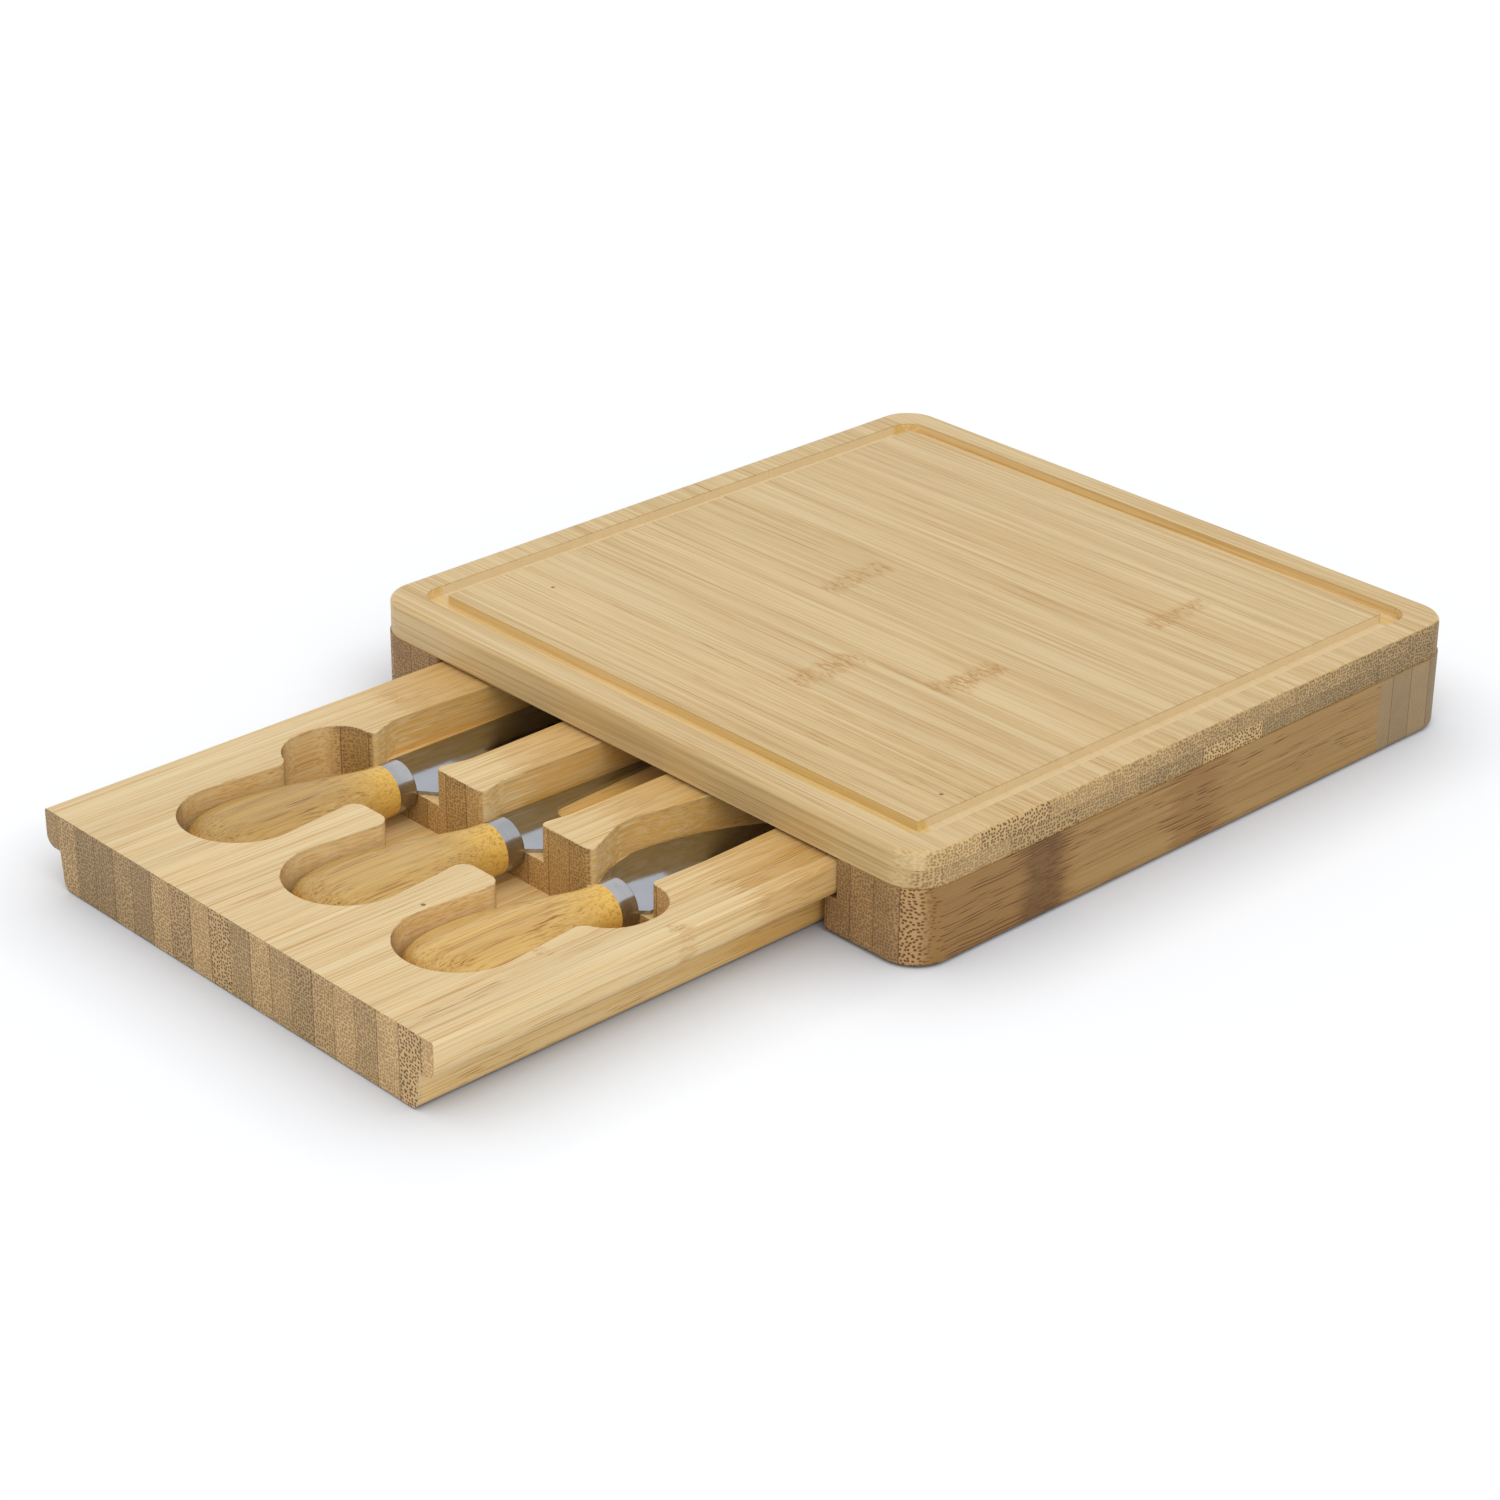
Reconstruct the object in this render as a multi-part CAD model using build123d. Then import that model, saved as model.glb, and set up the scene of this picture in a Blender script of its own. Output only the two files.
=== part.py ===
from build123d import *
import math
import os

# Cheese board: a glued bamboo board on a U-shaped frame, with a knife drawer under it.
# Millimetres. X to the right seen from the front, Y to the back, Z up, the table at zero.
# The model is laid out about the middle of the board and moved to its own origin at the end.

# Board
board_width = 230.0
board_length = 230.0
board_corner = 12.0
ply_thickness = 5.5
board_edge_round = 1.6
board_inset = 0.4
upper_strip_count = 7
lower_strip_count = 8

# Juice groove round the top
groove_width = 6.5
groove_depth = 1.8
groove_margin = 9.2
groove_corner = 3.6

# Frame under the board, open at the front
frame_height = 24.0
frame_foot_round = 2.0
side_rail_width = 30.0
back_rail_width = 35.0
ledge_width = 4.5
ledge_height = 11.6
rail_lamella_count = 2

# Drawer: a wide flange that rides on the ledges, and a narrower keel between them
drawer_out = 138.2
flange_side_clearance = 0.5
flange_ride_clearance = 0.1
flange_top_clearance = 1.2
keel_side_clearance = 2.1
keel_table_clearance = 0.3
keel_draft = 1.2
drawer_back_clearance = 0.5
flange_edge_round = 3.5
keel_edge_round = 2.5
drawer_top_round = 0.8
drawer_lamella_count = 18

# Each part is a count of whole glued pieces between two end pieces. The end pieces' widths
# are given as shares of a whole piece
upper_strip_end_shares = (0.916, 0.832)
lower_strip_end_shares = (0.359, 0.389)
left_rail_end_shares = (0.999, 0.917)
right_rail_end_shares = (1.076, 0.840)
back_rail_end_shares = (0.667, 1.305)
drawer_end_shares = (0.607, 0.576)

# Pockets in the drawer
knife_row_offset = 0.9
pocket_front_wall = 20.7
pocket_mouth_width = 28.2
pocket_handle_gap = 2.3
pocket_front_gap = 3.0
pocket_floor_gap = 0.35
pocket_rim_round = 0.4
channel_width = 28.2
channel_near_round = 14.0
channel_far_round = 11.5
channel_floor = 1.7
divider_nose_round = 4.0
blade_floor_height = 11.2
blade_nose_round = 2.2
blade_belly_round = 16.0
blade_end_round = 6.0
blade_end_gap = 5.7

# Knives
handle_length = 63.8
handle_width = 31.6
handle_thickness = 17.4
ferrule_diameter = 15.0
ferrule_length = 6.0
ferrule_wall = 0.8
ferrule_edge_round = 0.4
blade_thickness = 1.2
blade_length = 78.0
blade_root_width = 13.8
tang_width = 6.0
tang_length = 30.0
tang_clearance = 0.05

# Chisel knife: a plate with straight sides
chisel_half_width = 13.2
chisel_shoulder = 5.0
chisel_shoulder_round = 2.5
chisel_tip_round = 4.0

# Fork: two tapered tines
fork_half_width = 12.7
fork_tip_half_width = 10.9
fork_shoulder = 6.2
fork_shoulder_round = 6.0
fork_gap_start = 20.0
fork_gap_radius = 6.3
fork_tine_tip_width = 1.4
fork_tip_round = 0.5

# Belly knife: straight spine on the right, curved belly on the left
belly_spine_half_width = 9.1
belly_neck_half_width = 11.6
belly_half_width = 18.4
belly_tip_round = 3.0

# Walls of the blade pockets, as shares of the blade's half width beside them:
# at the channel, at the widest place, and at the far end
chisel_left_wall_shares = (0.985, 1.288, 1.091)
chisel_right_wall_shares = (1.106, 1.295, 1.227)
fork_left_wall_shares = (0.882, 1.095, 1.065)
fork_right_wall_shares = (1.016, 1.134, 1.285)
belly_left_wall_shares = (1.052, 1.104, 0.880)
belly_right_wall_shares = (1.231, 1.308, 1.143)

# The widest place of each blade pocket, measured from the channel
chisel_pocket_reach = 11.0
fork_pocket_reach = 10.0
belly_pocket_reach = 18.0

# Walls of the drawer: a divider between two handle pockets takes this share of the width
# that the pockets leave, and the channel's end wall a share of the outer pocket's side wall
divider_wall_share = 0.1805
channel_end_wall_share = 0.544

# Rounds are limited by the walls that they run into: the channel's corners by a share of
# the wall beside the outer pockets or of the channel's width, and a pocket's by the straight
# wall beside it
far_round_share = 0.78
near_round_share = 0.498
nose_round_share = 0.95

# Sections along a handle: share of its length from the butt, share of the half width,
# share of the half thickness, and how square the section is (2 is an ellipse)
butt_section_shares = (
    (0.000, 0.20, 0.22, 2.2),
    (0.008, 0.40, 0.46, 2.4),
    (0.040, 0.66, 0.74, 2.7),
    (0.110, 0.87, 0.93, 3.1),
    (0.210, 0.98, 0.99, 3.4),
    (0.330, 1.00, 1.00, 3.5),
    (0.480, 0.93, 0.99, 3.4),
    (0.640, 0.77, 0.97, 3.1),
    (0.790, 0.61, 0.93, 2.6),
    (0.910, 0.51, 0.88, 2.1),
)
section_arcs = 8
ellipse_power = 2.0

# One overrun serves every cut
overrun = 3.0

# Places worked out from the sizes
half_width = board_width / 2
half_length = board_length / 2
board_underside = frame_height
ply_joint = frame_height + ply_thickness
board_top = frame_height + 2 * ply_thickness
board_half_width = half_width - board_inset
board_half_length = half_length - board_inset
bay_half_width = half_width - side_rail_width
ledge_half_width = bay_half_width - ledge_width
back_rail_front = half_length - back_rail_width
bay_depth = board_length - back_rail_width

flange_half_width = bay_half_width - flange_side_clearance
keel_half_width = ledge_half_width - keel_side_clearance
drawer_length = bay_depth - drawer_back_clearance
drawer_front = -half_length - drawer_out
drawer_back = drawer_front + drawer_length
drawer_bottom = keel_table_clearance
flange_bottom = ledge_height + flange_ride_clearance
drawer_top = frame_height - flange_top_clearance

blade_floor = drawer_bottom + blade_floor_height
knife_axis_height = blade_floor + blade_thickness / 2
handle_floor = knife_axis_height - handle_thickness / 2 - pocket_floor_gap
channel_bottom = drawer_bottom + channel_floor
handle_pocket_radius = handle_width / 2 + pocket_handle_gap

pocket_front = drawer_front + pocket_front_wall
handle_butt = pocket_front + pocket_front_gap
ferrule_near = handle_butt + handle_length
ferrule_far = ferrule_near + ferrule_length
blade_tip = ferrule_far + blade_length
channel_far = ferrule_far + ferrule_edge_round
channel_near = channel_far - channel_width
channel_middle = channel_far - channel_width / 2
blade_pocket_end = blade_tip + blade_end_gap

knife_steps = (-1, 0, 1)
handle_pocket_width = 2 * handle_pocket_radius
spare_width = 2 * flange_half_width - len(knife_steps) * handle_pocket_width
knife_pitch = handle_pocket_width + divider_wall_share * spare_width
knife_middles = [knife_row_offset + step * knife_pitch for step in knife_steps]
pocket_side_wall = flange_half_width - knife_pitch - handle_pocket_radius
channel_half_length = flange_half_width - channel_end_wall_share * pocket_side_wall

mouth_half_width = pocket_mouth_width / 2
handle_pocket_middle = pocket_front + handle_pocket_radius


def walls_beside(half_widths, shares):
    """The distances of a pocket's wall from the middle of its knife."""
    return [width * share for width, share in zip(half_widths, shares)]


chisel_widths = (chisel_half_width, chisel_half_width, chisel_half_width)
fork_widths = (fork_half_width, fork_half_width, fork_tip_half_width)
edge_widths = (belly_neck_half_width, belly_half_width, belly_spine_half_width)
spine_widths = (belly_spine_half_width, belly_spine_half_width, belly_spine_half_width)
blade_pocket_walls = (
    (
        walls_beside(chisel_widths, chisel_left_wall_shares),
        walls_beside(chisel_widths, chisel_right_wall_shares),
        chisel_pocket_reach,
    ),
    (
        walls_beside(fork_widths, fork_left_wall_shares),
        walls_beside(fork_widths, fork_right_wall_shares),
        fork_pocket_reach,
    ),
    (
        walls_beside(edge_widths, belly_left_wall_shares),
        walls_beside(spine_widths, belly_right_wall_shares),
        belly_pocket_reach,
    ),
)
left_room = channel_half_length + knife_middles[0] - blade_pocket_walls[0][0][0]
right_room = channel_half_length - knife_middles[2] - blade_pocket_walls[2][1][0]
far_corner_round = min(channel_far_round, far_round_share * min(left_room, right_room))
near_corner_round = min(channel_near_round, near_round_share * channel_width)


def box(low, high):
    """A box between two opposite corners."""
    size = [b - a for a, b in zip(low, high)]
    middle = [(a + b) / 2 for a, b in zip(low, high)]
    return Pos(*middle) * Box(*size)


def upright(outline, bottom, top):
    """An outline drawn in plan, raised from one height to another."""
    return extrude(Pos(0, 0, bottom) * outline, amount=top - bottom)


def rounded_block(half_x, half_y, corner, bottom, top):
    """A block with rounded upright corners, centred in plan."""
    return upright(RectangleRounded(2 * half_x, 2 * half_y, corner), bottom, top)


def joints_between(start, end, end_shares, whole_count):
    """Glue joints from one edge to the other: an end piece, whole pieces, an end piece."""
    first_share, last_share = end_shares
    pitch = (end - start) / (first_share + whole_count + last_share)
    places = [start + (first_share + step) * pitch for step in range(whole_count + 1)]
    return [start] + places + [end]


def slices(solid, places, across, name):
    """Cut a solid into its glued pieces at the given places along X or Y."""
    pieces = {}
    reach = board_width + board_length + drawer_out
    spans = list(zip(places[:-1], places[1:]))
    for number, (low, high) in enumerate(spans, 1):
        low = low - overrun if number == 1 else low
        high = high + overrun if number == len(spans) else high
        if across == "X":
            cutter = box((low, -reach, -reach), (high, reach, reach))
        else:
            cutter = box((-reach, low, -reach), (reach, high, reach))
        pieces[f"{name}_{number}"] = solid & cutter
    return pieces


def groove_cutter():
    """The juice groove: a cove swept round a rounded rectangle in the board's top."""
    inset = groove_margin + groove_width / 2
    path_half_width = board_half_width - inset
    path_half_length = board_half_length - inset
    path = RectangleRounded(2 * path_half_width, 2 * path_half_length, groove_corner).wire()
    path = Pos(0, 0, board_top) * path
    half = groove_width / 2
    cove = ThreePointArc((-half, 0), (0, -groove_depth), (half, 0))
    rim = Polyline((half, 0), (half, overrun), (-half, overrun), (-half, 0))
    section = make_face([cove, rim])
    start = Plane(origin=path @ 0, x_dir=(path % 0).cross(Vector(0, 0, 1)), z_dir=path % 0)
    return sweep(start * section, path=path)


def board_pieces():
    """Two crossing plies of strips under one rounded top, with the groove cut in."""
    board = rounded_block(
        board_half_width, board_half_length, board_corner - board_inset, board_underside, board_top
    )
    top_rim = board.faces().sort_by(Axis.Z)[-1].edges()
    board = fillet(top_rim, board_edge_round)
    board = board - groove_cutter()
    reach = board_width + board_length
    upper = board & box((-reach, -reach, ply_joint), (reach, reach, board_top + overrun))
    lower = board & box((-reach, -reach, board_underside - overrun), (reach, reach, ply_joint))
    front, back = -board_half_length, board_half_length
    upper_joints = joints_between(front, back, upper_strip_end_shares, upper_strip_count)
    lower_joints = joints_between(front, back, lower_strip_end_shares, lower_strip_count)
    pieces = slices(upper, upper_joints, "Y", "upper_strip")
    pieces.update(slices(lower, lower_joints, "Y", "lower_strip"))
    return pieces


def frame_solid():
    """The U-shaped frame with a ledge along both sides of its bay."""
    frame = rounded_block(half_width, half_length, board_corner, 0, frame_height)
    foot_rim = frame.faces().sort_by(Axis.Z)[0].edges()
    frame = fillet(foot_rim, frame_foot_round)
    front = -half_length - overrun
    low_bay = box(
        (-ledge_half_width, front, -overrun), (ledge_half_width, back_rail_front, frame_height)
    )
    high_bay = box(
        (-bay_half_width, front, ledge_height),
        (bay_half_width, back_rail_front, frame_height + overrun),
    )
    return frame - low_bay - high_bay


def frame_pieces():
    """The left, right and back rails, each cut into its upright lamellae."""
    frame = frame_solid()
    reach = board_width
    left_rail = frame & box((-reach, -reach, -overrun), (0, back_rail_front, reach))
    right_rail = frame & box((0, -reach, -overrun), (reach, back_rail_front, reach))
    back_rail = frame & box((-reach, back_rail_front, -overrun), (reach, reach, reach))
    outer, inner = half_width, ledge_half_width
    left = joints_between(-outer, -inner, left_rail_end_shares, rail_lamella_count)
    right = joints_between(inner, outer, right_rail_end_shares, rail_lamella_count)
    back = joints_between(
        back_rail_front, half_length, back_rail_end_shares, rail_lamella_count
    )
    pieces = slices(left_rail, left, "X", "left_rail_lamella")
    pieces.update(slices(right_rail, right, "X", "right_rail_lamella"))
    pieces.update(slices(back_rail, back, "Y", "back_rail_lamella"))
    return pieces


def drawer_blank():
    """The drawer before its pockets: a T section run along the slide."""
    keel_bottom_half = keel_half_width - keel_draft
    corners = [
        (-keel_bottom_half, drawer_bottom),
        (keel_bottom_half, drawer_bottom),
        (keel_half_width, flange_bottom),
        (flange_half_width, flange_bottom),
        (flange_half_width, drawer_top),
        (-flange_half_width, drawer_top),
        (-flange_half_width, flange_bottom),
        (-keel_half_width, flange_bottom),
    ]
    rounds = [
        keel_edge_round,
        keel_edge_round,
        0,
        flange_edge_round,
        drawer_top_round,
        drawer_top_round,
        flange_edge_round,
        0,
    ]
    section = make_face(Polyline(*corners, close=True))
    for corner, radius in zip(corners, rounds):
        if radius:
            vertex = section.vertices().sort_by_distance((*corner, 0))[0]
            section = fillet(vertex, radius)
    standing = Plane(origin=(0, drawer_back, 0), x_dir=(1, 0, 0), z_dir=(0, -1, 0))
    return extrude(standing * section, amount=drawer_length)


def round_nearest(outline, places, radius):
    """Round the corners of an outline that lie nearest to the given places."""
    for place in places:
        corner = outline.vertices().sort_by_distance((*place, 0))[0]
        outline = fillet(corner, radius)
    return outline


def channel_outline():
    """The finger channel across the drawer, with its four corners rounded."""
    half = channel_half_length
    outline = Pos(0, channel_middle) * Rectangle(2 * half, channel_width)
    near_corners = ((-half, channel_near), (half, channel_near))
    far_corners = ((-half, channel_far), (half, channel_far))
    outline = round_nearest(outline, near_corners, near_corner_round)
    return round_nearest(outline, far_corners, far_corner_round)


def side_lean(radius, mouth_half, reach):
    """The angle by which a straight side leans as it leaves a round end for the mouth."""
    return math.atan2(reach, mouth_half) - math.acos(radius / math.hypot(reach, mouth_half))


def round_ended_outline(middle, end_middle, radius, mouth_half, mouth_place):
    """A round end and two straight sides that leave it smoothly for a mouth further along Y."""
    reach = mouth_place - end_middle
    lean = side_lean(radius, mouth_half, reach)
    touch_x, touch_y = radius * math.cos(lean), radius * math.sin(lean)
    left, right = (-touch_x, touch_y), (touch_x, touch_y)
    round_end = ThreePointArc(left, (0, -radius), right)
    sides = Polyline(right, (mouth_half, reach), (-mouth_half, reach), left)
    return Pos(middle, end_middle) * make_face([round_end, sides])


def nose_radius(largest, place, lean, corner_round):
    """The round where a pocket leaves the channel, limited by the straight wall beside it.

    A corner on the channel's own rounded end has no straight wall to run out of.
    """
    straight = channel_half_length - corner_round - abs(place)
    if straight < 0:
        return largest
    turn = math.pi / 2 + lean
    return min(largest, nose_round_share * straight / math.tan(turn / 2))


def handle_pockets_outline():
    """The channel and three round-fronted pockets that open into it."""
    outline = channel_outline()
    lean = side_lean(
        handle_pocket_radius, mouth_half_width, channel_middle - handle_pocket_middle
    )
    half_width_there = mouth_half_width + (channel_middle - channel_near) * math.tan(lean)
    places = []
    for middle in knife_middles:
        outline += round_ended_outline(
            middle, handle_pocket_middle, handle_pocket_radius, mouth_half_width, channel_middle
        )
        places += [middle - half_width_there, middle + half_width_there]
    for place in places:
        radius = nose_radius(divider_nose_round, place, lean, near_corner_round)
        outline = round_nearest(outline, ((place, channel_near),), radius)
    return outline


def blade_pocket_outline(middle, left, right, reach):
    """One blade pocket, from the middle of the channel to its far end."""
    belly = channel_far + reach
    points = [
        (middle - left[0], channel_middle),
        (middle - left[0], channel_far),
        (middle - left[1], belly),
        (middle - left[2], blade_pocket_end),
        (middle + right[2], blade_pocket_end),
        (middle + right[1], belly),
        (middle + right[0], channel_far),
        (middle + right[0], channel_middle),
    ]
    outline = make_face(Polyline(*points, close=True))
    outline = round_nearest(outline, (points[2], points[5]), blade_belly_round)
    return round_nearest(outline, (points[3], points[4]), blade_end_round)


def blade_pockets_outline():
    """The channel and the three blade pockets behind it."""
    outline = channel_outline()
    noses = []
    for middle, (left, right, reach) in zip(knife_middles, blade_pocket_walls):
        outline += blade_pocket_outline(middle, left, right, reach)
        for side, walls in ((-1, left), (1, right)):
            place = middle + side * walls[0]
            lean = math.atan2(walls[1] - walls[0], reach)
            noses.append((place, nose_radius(blade_nose_round, place, lean, far_corner_round)))
    for place, radius in noses:
        outline = round_nearest(outline, ((place, channel_far),), radius)
    return outline


def drawer_pieces():
    """The drawer with its pockets, cut into its upright lamellae."""
    above = drawer_top + overrun
    drawer = drawer_blank()
    drawer -= upright(handle_pockets_outline(), handle_floor, above)
    drawer -= upright(channel_outline(), channel_bottom, above)
    drawer -= upright(blade_pockets_outline(), blade_floor, above)
    top_face = drawer.faces().sort_by(Axis.Z)[-1]
    rims = [edge for wire in top_face.inner_wires() for edge in wire.edges()]
    drawer = fillet(rims, pocket_rim_round)
    places = joints_between(
        -flange_half_width, flange_half_width, drawer_end_shares, drawer_lamella_count
    )
    return slices(drawer, places, "X", "drawer_lamella")


def handle_section(y, half_x, half_z, power):
    """One closed section of a handle, made of arcs through a rounded square curve."""

    def point(turn):
        angle = 2 * math.pi * turn
        c, s = math.cos(angle), math.sin(angle)
        x = half_x * math.copysign(abs(c) ** (ellipse_power / power), c)
        z = half_z * math.copysign(abs(s) ** (ellipse_power / power), s)
        return (x, y, z)

    arcs = []
    for step in range(section_arcs):
        start, middle, end = step, step + 1 / 2, step + 1
        arcs.append(ThreePointArc(*[point(t / section_arcs) for t in (start, middle, end)]))
    return make_face(arcs)


def handle():
    """A flat-sided handle that narrows to a round neck, with a tenon for the ferrule."""
    sections = []
    for along, wide, thick, power in butt_section_shares:
        y = along * handle_length - handle_length
        half_x = wide * handle_width / 2
        half_z = thick * handle_thickness / 2
        sections.append(handle_section(y, half_x, half_z, power))
    neck = ferrule_diameter / 2
    sections.append(handle_section(0, neck, neck, ellipse_power))
    grip = loft(sections)
    tenon_radius = ferrule_diameter / 2 - ferrule_wall
    tenon_length = ferrule_length - ferrule_wall
    tenon = Rot(-90, 0, 0) * Cylinder(
        tenon_radius, tenon_length + overrun, align=(Align.CENTER, Align.CENTER, Align.MIN)
    )
    tenon = Pos(0, -overrun, 0) * tenon
    slot_half_x = tang_width / 2 + tang_clearance
    slot_half_z = blade_thickness / 2 + tang_clearance
    slot = box(
        (-slot_half_x, ferrule_length - tang_length - tang_clearance, -slot_half_z),
        (slot_half_x, ferrule_length + overrun, slot_half_z),
    )
    return grip + tenon - slot


def ferrule():
    """A thin metal cup over the tenon, slotted for the tang."""
    radius = ferrule_diameter / 2
    along = (Align.CENTER, Align.CENTER, Align.MIN)
    shell = Rot(-90, 0, 0) * Cylinder(radius, ferrule_length, align=along)
    far_rim = shell.faces().sort_by(Axis.Y)[-1].edges()
    shell = fillet(far_rim, ferrule_edge_round)
    bore_radius = radius - ferrule_wall
    bore = Rot(-90, 0, 0) * Cylinder(bore_radius, ferrule_length - ferrule_wall, align=along)
    slot_half_x = tang_width / 2 + tang_clearance
    slot_half_z = blade_thickness / 2 + tang_clearance
    slot = box(
        (-slot_half_x, 0, -slot_half_z), (slot_half_x, ferrule_length + overrun, slot_half_z)
    )
    return shell - bore - slot


def blade_solid(outline):
    """A flat blade outline with its tang, given its thickness. The root is at zero."""
    plate = upright(outline, -blade_thickness / 2, blade_thickness / 2)
    tang = box(
        (-tang_width / 2, -tang_length, -blade_thickness / 2),
        (tang_width / 2, 0, blade_thickness / 2),
    )
    return plate + tang


def chisel_outline():
    """A straight-sided plate with sloping shoulders and a square end."""
    root = blade_root_width / 2
    corners = [
        (-root, 0),
        (-chisel_half_width, chisel_shoulder),
        (-chisel_half_width, blade_length),
        (chisel_half_width, blade_length),
        (chisel_half_width, chisel_shoulder),
        (root, 0),
    ]
    outline = make_face(Polyline(*corners, close=True))
    outline = round_nearest(outline, (corners[1], corners[4]), chisel_shoulder_round)
    return round_nearest(outline, (corners[2], corners[3]), chisel_tip_round)


def fork_outline():
    """Two tines with a round-ended gap between them that widens to the tips."""
    root = blade_root_width / 2
    corners = [
        (-root, 0),
        (-fork_half_width, fork_shoulder),
        (-fork_tip_half_width, blade_length),
        (fork_tip_half_width, blade_length),
        (fork_half_width, fork_shoulder),
        (root, 0),
    ]
    outline = make_face(Polyline(*corners, close=True))
    outline = round_nearest(outline, (corners[1], corners[4]), fork_shoulder_round)
    gap_middle = fork_gap_start + fork_gap_radius
    gap_tip = fork_tip_half_width - fork_tine_tip_width
    outline -= round_ended_outline(0, gap_middle, fork_gap_radius, gap_tip, blade_length)
    tips = []
    for place in (gap_tip, fork_tip_half_width):
        tips += [(-place, blade_length), (place, blade_length)]
    return round_nearest(outline, tips, fork_tip_round)


def belly_outline():
    """A straight spine on the right and a curved cutting edge on the left."""
    root = blade_root_width / 2
    height_shares = (0.03, 0.12, 0.27, 0.64)
    neck_y, belly_start_y, belly_y, sweep_y = [share * blade_length for share in height_shares]
    start_share, sweep_share, spine_start_share = 0.83, 0.62, 0.03
    tip = (belly_spine_half_width, blade_length)
    neck = Polyline((0, 0), (-root, 0), (-belly_neck_half_width, neck_y))
    widening = ThreePointArc(
        (-belly_neck_half_width, neck_y),
        (-start_share * belly_half_width, belly_start_y),
        (-belly_half_width, belly_y),
    )
    sweep_place = (-sweep_share * belly_half_width, sweep_y)
    closing = ThreePointArc((-belly_half_width, belly_y), sweep_place, tip)
    spine = Polyline(
        tip, (belly_spine_half_width, spine_start_share * blade_length), (root, 0), (0, 0)
    )
    outline = make_face([neck, widening, closing, spine])
    return round_nearest(outline, (tip,), belly_tip_round)


def knife_pieces():
    """Three knives in their pockets, each a handle, a ferrule and a blade with its tang."""
    pieces = {}
    names = ("chisel", "fork", "belly_knife")
    outlines = (chisel_outline(), fork_outline(), belly_outline())
    for middle, name, outline in zip(knife_middles, names, outlines):
        neck = Pos(middle, ferrule_near, knife_axis_height)
        root = Pos(middle, ferrule_far, knife_axis_height)
        pieces[f"{name}_handle"] = neck * handle()
        pieces[f"{name}_ferrule"] = neck * ferrule()
        pieces[f"{name}_blade"] = root * blade_solid(outline)
    return pieces


# The origin is under the middle of the whole object as it stands, drawer out
to_origin = Pos(0, drawer_out / 2, 0)

nodes = {}
nodes.update(board_pieces())
nodes.update(frame_pieces())
nodes.update(drawer_pieces())
nodes.update(knife_pieces())

os.makedirs("parts", exist_ok=True)
for name, piece in nodes.items():
    export_step(to_origin * piece, f"parts/{name}.step")
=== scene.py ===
"""A bamboo cheese board with its knife drawer pulled out, dressed for a studio picture.

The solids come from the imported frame. This file gives them their wood and steel, and
adds the floor, the light and the camera. Places and sizes in the textures are in
millimetres, with X across the board, Y towards its back and Z up.
"""

import math

import bpy
from bpy.props import FloatProperty, FloatVectorProperty, PointerProperty
from mathutils import Matrix, Vector


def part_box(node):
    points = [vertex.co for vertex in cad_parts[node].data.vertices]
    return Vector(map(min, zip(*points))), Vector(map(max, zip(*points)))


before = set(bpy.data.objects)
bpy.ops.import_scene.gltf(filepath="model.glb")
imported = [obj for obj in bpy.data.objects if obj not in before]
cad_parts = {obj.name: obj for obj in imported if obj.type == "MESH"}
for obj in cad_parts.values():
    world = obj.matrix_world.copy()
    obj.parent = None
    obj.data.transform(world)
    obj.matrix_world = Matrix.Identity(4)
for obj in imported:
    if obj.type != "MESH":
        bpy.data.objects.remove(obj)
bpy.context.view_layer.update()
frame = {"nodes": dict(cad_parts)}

bl_info = {
    "name": "Cheese Board",
    "version": (1, 0, 0),
    "blender": (4, 5, 0),
    "location": "3D View > Sidebar > Cheese Board",
    "description": "Finishes a bamboo cheese board, its drawer and its knives",
    "category": "Object",
}

MM = 1000.0

UPPER_STRIPS = [f"upper_strip_{number}" for number in range(1, 10)]
LOWER_STRIPS = [f"lower_strip_{number}" for number in range(1, 11)]
LEFT_RAIL = [f"left_rail_lamella_{number}" for number in range(1, 5)]
RIGHT_RAIL = [f"right_rail_lamella_{number}" for number in range(1, 5)]
BACK_RAIL = [f"back_rail_lamella_{number}" for number in range(1, 5)]
DRAWER = [f"drawer_lamella_{number}" for number in range(1, 21)]
KNIVES = ("chisel", "fork", "belly_knife")


def joints_of(nodes, axis):
    """Places of the glue joints along an axis, from the boxes of the glued pieces."""
    lows = [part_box(node)[0][axis] * MM for node in nodes]
    return lows + [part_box(nodes[-1])[1][axis] * MM]


def middle_of(node, axis):
    """The middle of a piece along an axis."""
    low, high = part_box(node)
    return (low[axis] + high[axis]) / 2 * MM


UPPER_JOINTS = joints_of(UPPER_STRIPS, 1)
LOWER_JOINTS = joints_of(LOWER_STRIPS, 1)
DRAWER_JOINTS = joints_of(DRAWER, 0)
BOARD_MIDDLE = middle_of("upper_strip_5", 1)
BOARD_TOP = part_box("upper_strip_5")[1].z * MM
BOARD_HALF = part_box("upper_strip_5")[1].x * MM
PLY_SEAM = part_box("upper_strip_5")[0].z * MM
DRAWER_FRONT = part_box("drawer_lamella_10")[0].y * MM
DRAWER_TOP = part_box("drawer_lamella_1")[1].z * MM
HANDLE_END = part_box("fork_handle")[1].y * MM
# Depth of the turning and polishing lines in the steel, in metres
STEEL_RELIEF = 0.00001


def linear(red, green, blue):
    """A colour as a picture shows it, out of 255, in the shader's own scale."""
    shades = []
    for shade in (red, green, blue):
        share = shade / 255
        if share <= 0.04045:
            shades.append(share / 12.92)
        else:
            shades.append(((share + 0.055) / 1.055) ** 2.4)
    return tuple(shades)


def colour_of(name, red, green, blue):
    """A colour that a user can change, with its default as a picture shows it."""
    return FloatVectorProperty(
        name=name,
        description=f"Colour of the {name.lower()}",
        subtype="COLOR",
        default=linear(red, green, blue),
        min=0,
        max=1,
    )


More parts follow.
